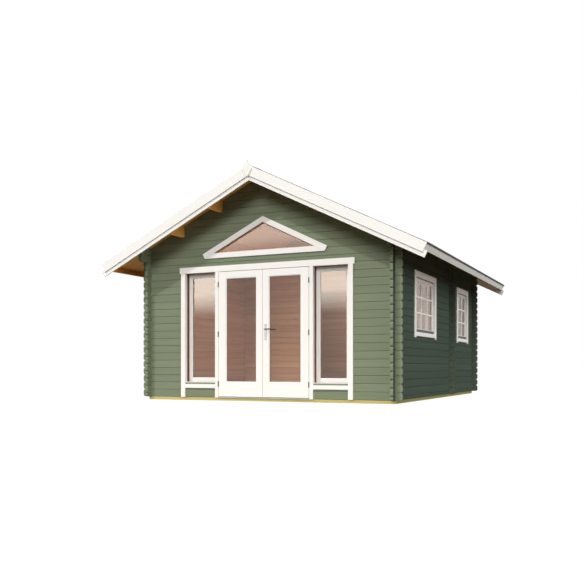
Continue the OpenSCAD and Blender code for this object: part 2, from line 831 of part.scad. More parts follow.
// Both levers on their common spindle
module lever_handle() color(grey) on_bearers() {
    spindle_bar(within(plate_faces, -lever_r), spindle_r);
    translate([spindle_x, plate_faces[0], lever_z]) lever();
    translate([spindle_x, plate_faces[1], lever_z]) mirror([0, 1, 0]) lever();
}

bearers();
floor();
left_wall();
right_wall();
front_wall_left();
front_wall_right();
front_wall_over();
back_wall();
partition_left();
partition_right();
partition_over();
inner_door_lining();
purlins();
roof_boards_left();
roof_boards_right();
roof_felt_left();
roof_felt_right();
front_barge_boards();
back_barge_boards();
gable_diamonds();
eave_fascia_left();
eave_fascia_right();
door_posts();
door_head();
door_threshold();
sidelight_jambs();
sidelight_sashes();
sidelight_glass();
front_casing();
gable_window_frame();
gable_window_glass();
gable_window_casing();
side_window_frames();
side_window_glass();
side_window_casing();
door_left();
door_left_glass();
door_left_hinges();
door_right();
door_right_glass();
door_right_hinges();
post_hinges();
handle_plates();
lever_handle();
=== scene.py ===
"""Looks of the log cabin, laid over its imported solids."""

import math

import bpy
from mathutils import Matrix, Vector


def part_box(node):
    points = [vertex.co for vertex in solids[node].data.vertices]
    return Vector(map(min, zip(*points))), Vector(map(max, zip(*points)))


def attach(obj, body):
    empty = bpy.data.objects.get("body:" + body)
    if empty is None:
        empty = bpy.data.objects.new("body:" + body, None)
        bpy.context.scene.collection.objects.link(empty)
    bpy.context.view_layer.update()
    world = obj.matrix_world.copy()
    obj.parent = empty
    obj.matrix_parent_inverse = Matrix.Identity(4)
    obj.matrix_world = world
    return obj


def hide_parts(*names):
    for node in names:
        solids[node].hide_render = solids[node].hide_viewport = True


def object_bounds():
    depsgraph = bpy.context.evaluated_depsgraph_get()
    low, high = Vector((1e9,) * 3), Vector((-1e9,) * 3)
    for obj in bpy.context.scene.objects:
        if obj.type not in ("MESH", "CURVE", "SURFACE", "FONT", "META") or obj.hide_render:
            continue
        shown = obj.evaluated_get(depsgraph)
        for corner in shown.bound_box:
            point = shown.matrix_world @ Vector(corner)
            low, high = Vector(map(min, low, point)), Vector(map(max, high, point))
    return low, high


# Solids
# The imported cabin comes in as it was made: logs, roof, doors, windows and fittings,
# in metres, with the doors facing -Y and the wall with two windows facing +X.
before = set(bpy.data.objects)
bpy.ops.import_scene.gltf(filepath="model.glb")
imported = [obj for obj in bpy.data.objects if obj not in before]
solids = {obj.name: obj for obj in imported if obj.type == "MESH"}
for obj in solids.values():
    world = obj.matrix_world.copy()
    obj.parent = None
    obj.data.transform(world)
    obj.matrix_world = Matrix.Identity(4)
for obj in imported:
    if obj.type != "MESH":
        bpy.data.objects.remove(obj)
solid_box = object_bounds()
bpy.context.scene.view_settings.view_transform = "Standard"

# Camera
# A level view from low down, well to the right of the doors, with the lens shifted up
# so that the uprights stay parallel.
PICTURE_PX = 584
FOCAL_PX = 771.95
HORIZON_PX = 367.58
SENSOR_MM = 36.0
EYE = (5.19, -12.60, 0.501)
LEVEL = math.radians(90)
TURN_LEFT = math.radians(24.88)

bpy.ops.object.camera_add(location=EYE, rotation=(LEVEL, 0, TURN_LEFT))
camera = bpy.context.object
camera.data.sensor_width = SENSOR_MM
camera.data.lens = FOCAL_PX * SENSOR_MM / PICTURE_PX
camera.data.shift_y = (HORIZON_PX - PICTURE_PX / 2) / PICTURE_PX
bpy.context.scene.camera = camera

# Bearers
# Pressure-treated softwood battens under every wall, and the joists between them: sawn
# square and laid flat on the ground, pale yellow-green, with painted shade on those along Y.
TREATED_KNOT = (0.30, 0.20, 0.09, 1)
TREATED_LIT_AND_SHADED = {
    "x": ((0.66, 0.59, 0.24, 1), (0.51, 0.43, 0.15, 1), TREATED_KNOT),
    # Pieces along Y get a darker copy of the colour: painted shade.
    "y": ((0.30, 0.295, 0.11, 1), (0.23, 0.22, 0.07, 1), TREATED_KNOT),
}
SAWN_EASE = 0.002
STREAK_SCALE = (0.7, 16, 16)
STREAK_SHARE = 0.55
FIBRE_SCALE = (7, 210, 210)
FIBRE_SHARE = 0.7
KNOT_SCALE = (4.2, 9, 9)
KNOT_EDGE = (0.05, 0.13)
NOISE_RANGE = (0.3, 0.7)
FIGURE_SHIFT = 40.0
GRAIN_DEEP = 0.002
ROUGH_SPAN = 0.16
MID_TINT = 0.5
MERGE_GAP = 0.00001
FLAT_ANGLE = math.radians(1)
SHARP_ANGLE = math.radians(35)
EASE_STEPS = 2


def put(tree, kind, inputs=None, **settings):
    """Adds a shader node with its settings, and its inputs as values or links."""
    made = tree.nodes.new(kind)
    for name, value in settings.items():
        setattr(made, name, value)
    for key, value in (inputs or {}).items():
        if isinstance(value, bpy.types.NodeSocket):
            tree.links.new(value, made.inputs[key])
        else:
            made.inputs[key].default_value = value
    return made


def calc(tree, operation, *values):
    """The result of one Math node."""
    return put(tree, "ShaderNodeMath", dict(enumerate(values)), operation=operation).outputs[0]


def spread(tree, value, low, high, first=0.0, last=1.0):
    """A value moved from one range to another, and kept within it."""
    limits = {"Value": value, "From Min": low, "From Max": high, "To Min": first, "To Max": last}
    return put(tree, "ShaderNodeMapRange", limits).outputs[0]


def blend(tree, factor, first, second):
    """A colour between two colours."""
    return put(tree, "ShaderNodeMix", {0: factor, 6: first, 7: second}, data_type="RGBA").outputs[2]


def split(tree, vector):
    """The X, Y and Z of coordinates."""
    return put(tree, "ShaderNodeSeparateXYZ", {0: vector}).outputs


def stretched(tree, vector, factors):
    """Coordinates scaled by three factors."""
    return put(tree, "ShaderNodeVectorMath", {0: vector, 1: factors}, operation="MULTIPLY").outputs[0]


def add_noise(tree, vector, scale, detail, rough=0.5):
    """A noise between nought and one, with a scale for each axis."""
    return put(tree, "ShaderNodeTexNoise", {
        "Vector": stretched(tree, vector, scale),
        "Scale": 1.0, "Detail": detail, "Roughness": rough}).outputs[0]


def new_group(name, inputs, outputs):
    """An empty shader group with named sockets, and its two end nodes."""
    group = bpy.data.node_groups.new(name, "ShaderNodeTree")
    for label, kind in inputs:
        group.interface.new_socket(label, in_out="INPUT", socket_type="NodeSocket" + kind)
    for label, kind in outputs:
        group.interface.new_socket(label, in_out="OUTPUT", socket_type="NodeSocket" + kind)
    return group, group.nodes.new("NodeGroupInput").outputs, group.nodes.new("NodeGroupOutput").inputs


grain, given, result = new_group(
    "wood_grain",
    [("Vector", "Vector")],
    [("Streaks", "Float"), ("Fibre", "Float"), ("Knots", "Float")],
)
streaks = add_noise(grain, given["Vector"], STREAK_SCALE, detail=3.0, rough=0.55)
fibre = add_noise(grain, given["Vector"], FIBRE_SCALE, detail=2.0, rough=0.6)
knots = put(grain, "ShaderNodeTexVoronoi", {
    "Vector": stretched(grain, given["Vector"], KNOT_SCALE), "Scale": 1.0}).outputs["Distance"]
grain.links.new(spread(grain, streaks, *NOISE_RANGE), result["Streaks"])
grain.links.new(fibre, result["Fibre"])
grain.links.new(spread(grain, knots, *KNOT_EDGE, 1.0, 0.0), result["Knots"])

planed, given, result = new_group(
    "planed_wood",
    [("Vector", "Vector"), ("Tint", "Float"), ("Light", "Color"), ("Dark", "Color"),
     ("Knot Colour", "Color"), ("Knot Depth", "Float")],
    [("Color", "Color"), ("Height", "Float")],
)
figure = put(planed, "ShaderNodeGroup", {"Vector": given["Vector"]}, node_tree=grain).outputs
board_tint = calc(planed, "MULTIPLY", given["Tint"], 1 - STREAK_SHARE)
shade = calc(planed, "MULTIPLY_ADD", figure["Streaks"], STREAK_SHARE, board_tint)
body_colour = blend(planed, shade, given["Light"], given["Dark"])
knot_mask = calc(planed, "MULTIPLY", figure["Knots"], given["Knot Depth"])
planed.links.new(blend(planed, knot_mask, body_colour, given["Knot Colour"]), result["Color"])
ridges = calc(planed, "MULTIPLY", figure["Streaks"], 1 - FIBRE_SHARE)
planed.links.new(calc(planed, "MULTIPLY_ADD", figure["Fibre"], FIBRE_SHARE, ridges), result["Height"])

# Turns that lay the grain, which runs along X in the group, along each axis of the cabin.
GRAIN_TURN = {
    "x": (0, 0, 0),
    "y": (0, 0, math.radians(-90)),
    "z": (0, math.radians(90), 0),
}


def new_finish(name, rough, gloss):
    """A material, its tree and shader, and the coordinates of the piece."""
    made = bpy.data.materials.new(name)
    made.use_nodes = True
    tree = made.node_tree
    shader = tree.nodes["Principled BSDF"].inputs
    shader["Roughness"].default_value = rough
    shader["Specular IOR Level"].default_value = gloss
    return made, tree, shader, put(tree, "ShaderNodeTexCoord").outputs["Object"]


def add_relief(tree, shader, height, strength, depth):
    """A bump from a height."""
    bump = put(tree, "ShaderNodeBump", {"Height": height, "Strength": strength, "Distance": depth})
    tree.links.new(bump.outputs[0], shader["Normal"])


def row_tint(tree, along, start, width):
    """A tint drawn for each board or log of a row, from the place along the row."""
    number = calc(tree, "FLOOR", calc(tree, "DIVIDE", calc(tree, "SUBTRACT", along, start), width))
    return put(tree, "ShaderNodeTexWhiteNoise", {"W": number}, noise_dimensions="1D").outputs[0]


def lay_grain(tree, place, axis, tint=None):
    """Coordinates with the grain along an axis, moved by a tint to give each board its own figure."""
    turned = put(tree, "ShaderNodeMapping", {"Vector": place, "Rotation": GRAIN_TURN[axis]}).outputs[0]
    if tint is None:
        return turned
    shift = put(tree, "ShaderNodeCombineXYZ", {"X": calc(tree, "MULTIPLY", tint, FIGURE_SHIFT)}).outputs[0]
    return put(tree, "ShaderNodeVectorMath", {0: turned, 1: shift}, operation="ADD").outputs[0]


def add_wood(tree, vector, tint, colours, knots):
    """The planed wood group with a light, a dark and a knot colour."""
    light, dark, knot = colours
    return put(tree, "ShaderNodeGroup", {
        "Vector": vector, "Tint": tint, "Light": light, "Dark": dark,
        "Knot Colour": knot, "Knot Depth": knots}, node_tree=planed).outputs


def dress_wood(tree, shader, colour, height, rough, span, relief):
    """Gives a shader the colour of wood, and its roughness and relief from the height of the grain."""
    tree.links.new(colour, shader["Base Color"])
    tree.links.new(calc(tree, "MULTIPLY_ADD", height, span, rough - span / 2), shader["Roughness"])
    add_relief(tree, shader, height, relief, GRAIN_DEEP)


def wood_finish(name, axis, colours, knots, rough, gloss, relief, boards=None):
    """Planed wood with its grain along an axis; boards gives the axis, start and width of a row."""
    made, tree, shader, place = new_finish(name, rough, gloss)
    tint = None
    if boards:
        row_axis, start, width = boards
        tint = row_tint(tree, split(tree, place)[row_axis], start, width)
    vector = lay_grain(tree, place, axis, tint)
    wood = add_wood(tree, vector, MID_TINT if tint is None else tint, colours, knots)
    dress_wood(tree, shader, wood["Color"], wood["Height"], rough, ROUGH_SPAN, relief)
    return made


def deselect():
    """Clears the selection, so that an operator acts on the new piece alone."""
    bpy.ops.object.select_all(action="DESELECT")


def choose(piece):
    """Makes one piece the active and only selected one."""
    deselect()
    piece.select_set(True)
    bpy.context.view_layer.objects.active = piece


def open_mesh():
    """Goes into edit mode, with the whole mesh selected."""
    bpy.ops.object.mode_set(mode="EDIT")
    bpy.ops.mesh.select_all(action="SELECT")


def close_mesh():
    """Goes back to object mode."""
    bpy.ops.object.mode_set(mode="OBJECT")


def settle():
    """Moves the place, turn and scale of the selected piece into its mesh."""
    bpy.ops.object.transform_apply(location=True, rotation=True, scale=True)


def apply_modifiers(piece):
    """Applies all modifiers of a piece."""
    choose(piece)
    for modifier in list(piece.modifiers):
        bpy.ops.object.modifier_apply(modifier=modifier.name)


def join(name, pieces):
    """Joins pieces into one, under one name."""
    choose(pieces[0])
    for piece in pieces[1:]:
        piece.select_set(True)
    if len(pieces) > 1:
        bpy.ops.object.join()
    pieces[0].name = name
    pieces[0].data.name = name
    return pieces[0]


def ease_edges(piece, ease):
    """Rounds the sharp edges of a piece."""
    bevel = piece.modifiers.new("ease", "BEVEL")
    bevel.width = ease
    bevel.segments = EASE_STEPS
    bevel.limit_method = "ANGLE"
    bevel.angle_limit = SHARP_ANGLE
    apply_modifiers(piece)


def copy_solid(solid, name):
    """A merged copy of a solid, free to be shaped further."""
    piece = bpy.data.objects.new(name, solids[solid].data.copy())
    bpy.context.collection.objects.link(piece)
    choose(piece)
    bpy.ops.mesh.customdata_custom_splitnormals_clear()
    open_mesh()
    bpy.ops.mesh.remove_doubles(threshold=MERGE_GAP)
    bpy.ops.mesh.dissolve_limited(angle_limit=FLAT_ANGLE)
    bpy.ops.mesh.faces_shade_flat()
    close_mesh()
    return piece


def loose_parts(solid, name):
    """Copies of a solid's loose parts."""
    copy_solid(solid, name)
    open_mesh()
    bpy.ops.mesh.separate(type="LOOSE")
    close_mesh()
    return list(bpy.context.selected_objects)


def box_of(piece):
    """The lowest and the highest corner of a piece."""
    corners = piece.bound_box
    return Vector(corners[0]), Vector(corners[6])


def give(piece, finish):
    """Gives a whole piece one material."""
    piece.data.materials.clear()
    piece.data.materials.append(finish)


def longest_side(low, high):
    """The axis of the longest side of a box."""
    sides = list(high - low)
    return "xyz"[sides.index(max(sides))]


def eased_boards(solid, name, ease, finishes, grain_of=longest_side):
    """Stands for a solid of loose boards: edges eased, and a finish with the grain along each board."""
    boards = loose_parts(solid, name)
    for board in boards:
        give(board, finishes[grain_of(*box_of(board))])
        ease_edges(board, ease)
    piece = join(name, boards)
    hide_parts(solid)
    return piece


def hand_over(piece, body):
    """The piece moves with a body."""
    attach(piece, body)


treated_lit_and_shaded = {
    axis: wood_finish("treated_timber_" + axis, axis, colours, knots=0.6, rough=0.8, gloss=0.05, relief=0.5)
    for axis, colours in TREATED_LIT_AND_SHADED.items()
}
hand_over(eased_boards("bearers", "bearer_battens", SAWN_EASE, treated_lit_and_shaded), "cabin")

# Floor
# Tongued spruce boards across each room, nailed to the joists, with a short board in the
# doorway of the partition. The boards stop short of the walls all round.
FLOOR_BOARD = 0.11
FLOOR_EASE = 0.0015
FLOOR_GAP = 0.004
BOARD_GAP = 0.0008
DOORWAY_CLEAR = 0.03
SPRUCE = ((0.64, 0.37, 0.20, 1), (0.48, 0.25, 0.125, 1), (0.17, 0.06, 0.018, 1))


def add_board(name, low, high, ease):
    """A planed board between two corners, with all its edges eased."""
    deselect()
    low, high = Vector(low), Vector(high)
    bpy.ops.mesh.primitive_cube_add(size=1, location=(low + high) / 2, scale=high - low)
    board = bpy.context.object
    board.name = name
    settle()
    open_mesh()
    bpy.ops.mesh.bevel(offset=ease, segments=EASE_STEPS, affect="EDGES")
    close_mesh()
    return board


def lay_row(piece, step, count):
    """Repeats a piece at equal steps."""
    row = piece.modifiers.new("row", "ARRAY")
    row.count = count
    row.use_relative_offset = False
    row.use_constant_offset = True
    row.constant_offset_displace = step
    apply_modifiers(piece)


floor_low, floor_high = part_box("floor")
partition_low, partition_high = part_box("partition_left")
doorway_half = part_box("partition_right")[0].x - DOORWAY_CLEAR
room_ends = [
    (floor_low.y, partition_low.y - FLOOR_GAP),
    (partition_high.y + FLOOR_GAP, floor_high.y),
]
floor_rows = []
for start, end in room_ends:
    count = round((end - start) / FLOOR_BOARD)
    width = (end - start) / count
    row = add_board("floor_row", (floor_low.x, start, floor_low.z),
                    (floor_high.x, start + width - BOARD_GAP, floor_high.z), FLOOR_EASE)
    lay_row(row, (0, width, 0), count)
    floor_rows.append(row)
floor_rows.append(add_board(
    "doorway_board", (-doorway_half, room_ends[0][1] + BOARD_GAP, floor_low.z),
    (doorway_half, room_ends[1][0] - BOARD_GAP, floor_high.z), FLOOR_EASE))
floor_boards = join("floor_boards", floor_rows)
give(floor_boards, wood_finish(
    "floor_spruce", "x", SPRUCE, knots=0.8, rough=0.55, gloss=0.3, relief=0.3,
    boards=("Y", floor_low.y, FLOOR_BOARD)))
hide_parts("floor")
hand_over(floor_boards, "cabin")

# Log walls
# Machined spruce logs, tongued, half-lapped at the crossings and left to run past the
# corners. Outside they are painted sage green with a brush, and inside they stay bare. On
# the right-hand wall the green is painted darker as painted shade.
LOG_COURSE = 0.114
JOINT_PLAY = 0.001
PAINT_LIGHT = (0.232, 0.272, 0.188, 1)
PAINT_DARK = (0.192, 0.227, 0.153, 1)
# A darker green for the right-hand wall and for faces turned to the right: painted shade.
PAINTED_SHADE_LIGHT = (0.083, 0.113, 0.092, 1)
PAINTED_SHADE_DARK = (0.067, 0.094, 0.076, 1)
PAINTED_SHADE_SHARE = 0.7
PAINTED_SHADE_FACING = 0.3
PAINT_ROUGH = 0.7
PAINT_SPAN = 0.2
PAINT_GLOSS = 0.0
PAINT_KNOTS = 0.35
PAINT_RELIEF = 0.35
BARE_KNOTS = 0.4

front_face, back_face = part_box("front_wall_over"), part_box("back_wall")
side_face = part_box("right_wall")
painted_x = (side_face[0].x + side_face[1].x) / 2
painted_front = (front_face[0].y + front_face[1].y) / 2
painted_back = (back_face[0].y + back_face[1].y) / 2

outside, given, result = new_group(
    "painted_outside",
    [("Vector", "Vector")],
    [("Mask", "Float"), ("Painted Shade", "Float")],
)
spot = split(outside, given["Vector"])
past_side = calc(outside, "GREATER_THAN", calc(outside, "ABSOLUTE", spot["X"]), painted_x)
past_front = calc(outside, "LESS_THAN", spot["Y"], painted_front)
past_back = calc(outside, "GREATER_THAN", spot["Y"], painted_back)
past_gables = calc(outside, "MAXIMUM", past_front, past_back)
outside.links.new(calc(outside, "MAXIMUM", past_side, past_gables), result["Mask"])
# Where the right-hand wall lies between the gables: it takes the painted shade green.
past_right = calc(outside, "GREATER_THAN", spot["X"], painted_x)
behind_front = calc(outside, "GREATER_THAN", spot["Y"], front_face[1].y - JOINT_PLAY)
before_back = calc(outside, "LESS_THAN", spot["Y"], painted_back)
between_gables = calc(outside, "MULTIPLY", behind_front, before_back)
outside.links.new(calc(outside, "MULTIPLY", past_right, between_gables), result["Painted Shade"])


def log_finish(name, axis, first_joint):
    """Logs painted outside and bare inside, each course with its own tone and figure, the right side darker
    as painted shade.
    """
    made, tree, shader, place = new_finish(name, PAINT_ROUGH, PAINT_GLOSS)
    spot = split(tree, place)
    tint = row_tint(tree, spot["Z"], first_joint, LOG_COURSE)
    vector = lay_grain(tree, place, axis, tint)
    bare = add_wood(tree, vector, tint, SPRUCE, BARE_KNOTS)
    # Faces turned to the right and the right-hand wall get the darker green as painted shade.
    normal = split(tree, put(tree, "ShaderNodeNewGeometry").outputs["Normal"])
    on_right = calc(tree, "GREATER_THAN", spot["X"], 0.0)
    shaded_facing = calc(tree, "GREATER_THAN", calc(tree, "MULTIPLY", normal["X"], on_right), PAINTED_SHADE_FACING)
    masks = put(tree, "ShaderNodeGroup", {"Vector": place}, node_tree=outside).outputs
    painted_shade = calc(tree, "MAXIMUM", shaded_facing, calc(tree, "MULTIPLY", masks["Painted Shade"], PAINTED_SHADE_SHARE))
    light = blend(tree, painted_shade, PAINT_LIGHT, PAINTED_SHADE_LIGHT)
    dark = blend(tree, painted_shade, PAINT_DARK, PAINTED_SHADE_DARK)
    paint = add_wood(tree, vector, tint, (light, dark, dark), PAINT_KNOTS)
    colour = blend(tree, masks["Mask"], bare["Color"], paint["Color"])
    dress_wood(tree, shader, colour, paint["Height"], PAINT_ROUGH, PAINT_SPAN, PAINT_RELIEF)
    return made


bearer_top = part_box("front_wall_left")[0].z
logs_along_x = log_finish("logs_across", "x", bearer_top)
logs_along_y = log_finish("logs_along", "y", bearer_top - LOG_COURSE / 2)
for wall in ("front_wall_left", "front_wall_right", "front_wall_over", "back_wall"):
    give(solids[wall], logs_along_x)
for wall in ("left_wall", "right_wall"):
    give(solids[wall], logs_along_y)

# Partition
# Logs of the same kind between the two rooms, their ends locked into the side walls and
# painted with them outside. The doorway is lined with planed boards.
for wall in ("partition_left", "partition_right", "partition_over"):
    give(solids[wall], logs_along_x)
bare_spruce = {
    axis: wood_finish("bare_spruce_" + axis, axis, SPRUCE, knots=0.8, rough=0.6, gloss=0.25, relief=0.35)
    for axis in "xyz"
}
give(solids["inner_door_lining"], bare_spruce["z"])

# Purlins
# Five planed spruce beams from gable to gable and out under both overhangs, let into the
# gable logs. Their arrises are taken off, and their pine is painted lighter as painted light.
PURLIN_EASE = 0.004
PINE_KNOT = (0.26, 0.09, 0.025, 1)
PINE = ((0.98, 0.50, 0.13, 1), (0.88, 0.39, 0.085, 1), PINE_KNOT)
# Pine lightened for the purlins alone: painted light.
PAINTED_LIGHT_PINE = ((0.98, 0.55, 0.16, 1), (0.94, 0.46, 0.11, 1), PINE_KNOT)

pine_painted_light = wood_finish("pine_painted_light", "y", PAINTED_LIGHT_PINE, knots=0.8, rough=0.6, gloss=0.25, relief=0.35)
hand_over(eased_boards("purlins", "purlin_beams", PURLIN_EASE, {"y": pine_painted_light}), "cabin")

# Roof boards
# Tongued spruce boards from ridge to eave, nailed to the purlins side by side, with a
# V joint between them on the underside. The left slope is the right one turned round.
ROOF_BOARD = 0.096
ROOF_EASE = 0.004

roof_low, roof_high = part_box("roof_boards_right")
roof_long = roof_high.y - roof_low.y
roof_count = round(roof_long / ROOF_BOARD)
roof_step = roof_long / roof_count


def turned_round(piece, name):
    """A copy turned half round the upright axis, with a mesh of its own."""
    copy = bpy.data.objects.new(name, piece.data.copy())
    bpy.context.collection.objects.link(copy)
    choose(copy)
    copy.rotation_euler = (0, 0, math.pi)
    settle()
    return copy


roof_right = copy_solid("roof_boards_right", "roof_boarding_right")
open_mesh()
bpy.ops.transform.resize(
    value=(1, (roof_step - BOARD_GAP) / roof_long, 1), center_override=(0, roof_low.y, 0))
close_mesh()
ease_edges(roof_right, ROOF_EASE)
lay_row(roof_right, (0, roof_step, 0), roof_count)
give(roof_right, wood_finish(
    "roof_pine", "x", PINE, knots=0.8, rough=0.6, gloss=0.25, relief=0.35,
    boards=("Y", roof_low.y, roof_step)))
roof_left = turned_round(roof_right, "roof_boarding_left")
for side, piece in (("right", roof_right), ("left", roof_left)):
    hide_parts("roof_boards_" + side)
    hand_over(piece, "cabin")

# Roofing felt
# Mineral-surfaced bitumen felt over the boards: three strips a slope, each lapped over the
# one below and nailed along its lower edge, a strip over the ridge, and a drip at the edges.
PITCH = math.radians(26.2)
FELT_THICK = 0.003
FELT_LAP = 0.09
FELT_STRIPS = 3
RIDGE_STRIP = 0.16
VERGE_BACK = 0.06
NAIL_STEP = 0.1
NAIL_IN = 0.03
NAIL_R = 0.006
NAIL_HEAD = 0.002
NAIL_EASE = 0.0006
NAIL_SIDES = 8
STRIP_NAIL_RISE = FELT_THICK * 2
RIDGE_NAIL_RISE = FELT_THICK * 2.7
FELT_GREY = (0.085, 0.088, 0.092, 1)
FELT_PALE = (0.16, 0.163, 0.168, 1)
GRIT_SCALE = (420, 420, 420)
GRIT_RANGE = (0.35, 0.65)
GRIT_SHARE = 0.7
GRIT_DEEP = 0.0015
GRIT_RELIEF = 0.6
PATCH_SCALE = (3, 3, 3)
STEEL_COLOURS = ((0.34, 0.335, 0.33, 1), (0.56, 0.55, 0.54, 1))
STEEL_BRUSH = (900, 900, 60)

felt, tree, shader, place = new_finish("mineral_felt", rough=0.92, gloss=0.15)
grit = add_noise(tree, place, GRIT_SCALE, detail=2.0)
patches = calc(tree, "MULTIPLY", add_noise(tree, place, PATCH_SCALE, detail=4.0), 1 - GRIT_SHARE)
speckle = calc(tree, "MULTIPLY_ADD", spread(tree, grit, *GRIT_RANGE), GRIT_SHARE, patches)
tree.links.new(blend(tree, speckle, FELT_GREY, FELT_PALE), shader["Base Color"])
add_relief(tree, shader, grit, GRIT_RELIEF, GRIT_DEEP)

felt_low, felt_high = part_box("roof_felt_right")
strip_start, strip_end = felt_low.y + VERGE_BACK, felt_high.y - VERGE_BACK
slope_run = (felt_high.x - felt_low.x) / math.cos(PITCH)
strip_run = (slope_run + FELT_LAP * (FELT_STRIPS - 1)) / FELT_STRIPS


def slope_place(run, y, rise):
    """A point on the right slope, from its distance down the slope and its rise over the felt."""
    return Vector((run * math.cos(PITCH) + rise * math.sin(PITCH), y,
                   felt_high.z - run * math.sin(PITCH) + rise * math.cos(PITCH)))


def lay_strip(name, first, last, tilt):
    """A strip of felt along the slope, its lower edge raised onto the strip below."""
    strip = add_board(name, (0, strip_start, 0), (last - first, strip_end, FELT_THICK), FELT_THICK / 4)
    strip.rotation_euler = (0, PITCH - tilt, 0)
    strip.location = slope_place(first, 0, 0)
    choose(strip)
    settle()
    return strip


def add_round(name, sides, radius, length, place, turn):
    """A round bar about its middle, turned from upright."""
    deselect()
    bpy.ops.mesh.primitive_cylinder_add(
        vertices=sides, radius=radius, depth=length, location=place, rotation=turn)
    bar = bpy.context.object
    bar.name = name
    settle()
    return bar


def drive_nails(name, run, rise):
    """A row of flat nail heads along the slope."""
    first = slope_place(run, strip_start + NAIL_STEP / 2, rise)
    nail = add_round(name, NAIL_SIDES, NAIL_R, NAIL_HEAD, first, (0, PITCH, 0))
    ease_edges(nail, NAIL_EASE)
    lay_row(nail, (0, NAIL_STEP, 0), int((strip_end - strip_start) / NAIL_STEP))
    return nail


def mottled_finish(name, colours, scale, detail, rough, gloss, metal=0.0):
    """A finish between two colours by a fine noise, which its roughness follows."""
    made, tree, shader, place = new_finish(name, rough[0], gloss)
    shader["Metallic"].default_value = metal
    noise = add_noise(tree, place, scale, detail)
    tree.links.new(blend(tree, noise, *colours), shader["Base Color"])
    tree.links.new(spread(tree, noise, *NOISE_RANGE, *rough), shader["Roughness"])
    return made


felt_pieces = []
nail_rows = []
for index in range(FELT_STRIPS):
    first = index * (strip_run - FELT_LAP)
    felt_pieces.append(lay_strip("felt_strip", first, first + strip_run, FELT_THICK / strip_run))
    nail_rows.append(drive_nails("nail_row", first + strip_run - NAIL_IN, STRIP_NAIL_RISE))
felt_pieces.append(lay_strip("ridge_strip", 0, RIDGE_STRIP, FELT_THICK * 2 / RIDGE_STRIP))
nail_rows.append(drive_nails("nail_row", RIDGE_STRIP - NAIL_IN, RIDGE_NAIL_RISE))
strips_right = join("felt_strips_right", felt_pieces)
give(strips_right, felt)
for side in ("right", "left"):
    give(solids["roof_felt_" + side], felt)
steel = mottled_finish("satin_steel", STEEL_COLOURS, STEEL_BRUSH, detail=2.0,
                       rough=(0.27, 0.42), gloss=0.5, metal=1.0)
nails_right = join("felt_nails_right", nail_rows)
give(nails_right, steel)
for piece, slot in ((strips_right, "roofing_felt"), (nails_right, "satin_steel")):
    left = turned_round(piece, piece.name.replace("right", "left"))
    hand_over(piece, "cabin")
    hand_over(left, "cabin")

# Barge boards, diamonds and eave fascias
# Planed softwood boards painted warm white, screwed over the board ends of the roof: an
# outer and an inner barge board a slope, a diamond over each joint, a fascia along each eave.
WHITE_LIGHT = (0.92, 0.91, 0.89, 1)
WHITE_DARK = (0.89, 0.875, 0.85, 1)
WHITE = (WHITE_LIGHT, WHITE_DARK, WHITE_DARK)
# A greyer white for the eave fascias: painted shade.
FASCIA_SHADE_LIGHT = (0.79, 0.78, 0.765, 1)
FASCIA_SHADE_DARK = (0.76, 0.75, 0.735, 1)
FASCIA_SHADE_COAT = (FASCIA_SHADE_LIGHT, FASCIA_SHADE_DARK, FASCIA_SHADE_DARK)
COAT_KNOTS = 0.25
COAT_ROUGH = 0.54
COAT_GLOSS = 0.3
COAT_RELIEF = 0.2
UNCOATED_KNOTS = 0.8
TRIM_EASE = 0.0025
BARGE_EASE = 0.0006
GRAIN_TURN["right_slope"] = (0, -PITCH, 0)
GRAIN_TURN["left_slope"] = (0, PITCH, 0)

white = {
    axis: wood_finish("white_paint_" + axis, axis, WHITE, COAT_KNOTS,
                      rough=0.5, gloss=COAT_GLOSS, relief=0.14)
    for axis in GRAIN_TURN
}


def slope_side(low, high):
    """The slope on which a board lies."""
    return "right_slope" if low.x + high.x > 0 else "left_slope"


def part_painted(name, axis, wood, coat, outward, limit):
    """Bare wood, painted where it lies further out than a limit, on either side."""
    made, tree, shader, place = new_finish(name, COAT_ROUGH, COAT_GLOSS)
    vector = lay_grain(tree, place, axis)
    bare = add_wood(tree, vector, MID_TINT, wood, UNCOATED_KNOTS)
    paint = add_wood(tree, vector, MID_TINT, coat, COAT_KNOTS)
    mirrored = put(tree, "ShaderNodeVectorMath", {0: place}, operation="ABSOLUTE").outputs[0]
    reach = put(tree, "ShaderNodeVectorMath", {0: mirrored, 1: outward}, operation="DOT_PRODUCT")
    mask = calc(tree, "GREATER_THAN", reach.outputs["Value"], limit)
    colour = blend(tree, mask, bare["Color"], paint["Color"])
    dress_wood(tree, shader, colour, bare["Height"], COAT_ROUGH, ROUGH_SPAN, COAT_RELIEF)
    return made


def trim(solid, name, ease=TRIM_EASE, grain_of=longest_side):
    """White boards that stand for a solid."""
    hand_over(eased_boards(solid, name, ease, white, grain_of), "cabin")


trim("front_barge_boards", "barge_boards_front", BARGE_EASE, slope_side)
trim("back_barge_boards", "barge_boards_back", BARGE_EASE, slope_side)
trim("gable_diamonds", "diamond_plates")
down_slope = Vector((math.cos(PITCH), 0, -math.sin(PITCH)))
fascia_low, fascia_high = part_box("eave_fascia_right")
fascia_middle = (fascia_low + fascia_high).dot(down_slope) / 2
# The fascias' paint is greyed as painted shade; their inner half stays bare.
fascia_shaded_paint = part_painted("fascia_boards", "y", PINE, FASCIA_SHADE_COAT, down_slope, fascia_middle)
for side in ("left", "right"):
    fascia = eased_boards("eave_fascia_" + side, "fascia_" + side, TRIM_EASE, {"y": fascia_shaded_paint})
    hand_over(fascia, "cabin")

# Door frame
# White posts with a stop for each leaf, a head across the whole front opening, and an
# aluminium threshold with a sloping nose, all screwed to the logs.
ALUMINIUM = ((0.46, 0.46, 0.46, 1), (0.64, 0.64, 0.64, 1))
DRAWN_SCALE = (4, 500, 500)

